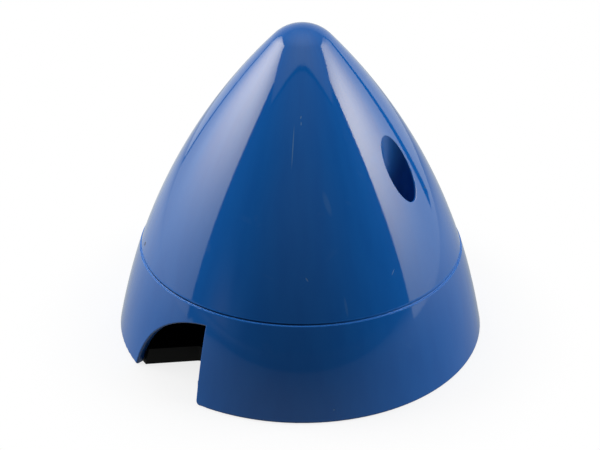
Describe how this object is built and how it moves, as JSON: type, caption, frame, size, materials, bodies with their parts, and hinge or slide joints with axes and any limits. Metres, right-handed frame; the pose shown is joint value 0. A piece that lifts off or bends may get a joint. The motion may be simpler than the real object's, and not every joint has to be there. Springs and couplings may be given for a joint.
{
  "type": "propeller spinner",
  "caption": "Pointed moulded spinner for a two-blade model aircraft propeller, with blade openings at the rim and sunk screw wells, fixed to a notched backplate with a shaft bore.",
  "frame": {"origin": "middle of the base, on the crankshaft's axis, in the plane of the rear face", "axes": "+Z to the nose along the crankshaft's axis, X along the propeller's blades, Y across them"},
  "size_m": [0.0618, 0.0638, 0.0546],
  "materials": {
    "shell_plastic": "glossy moulded blue",
    "plate_nylon": "dull moulded black nylon",
    "screw_steel": "plain steel"
  },
  "bodies": {
    "root": {"spinner_shell": "shell_plastic", "backplate": "plate_nylon", "cone_screw_1": "screw_steel", "cone_screw_2": "screw_steel"}
  },
  "joints": []
}
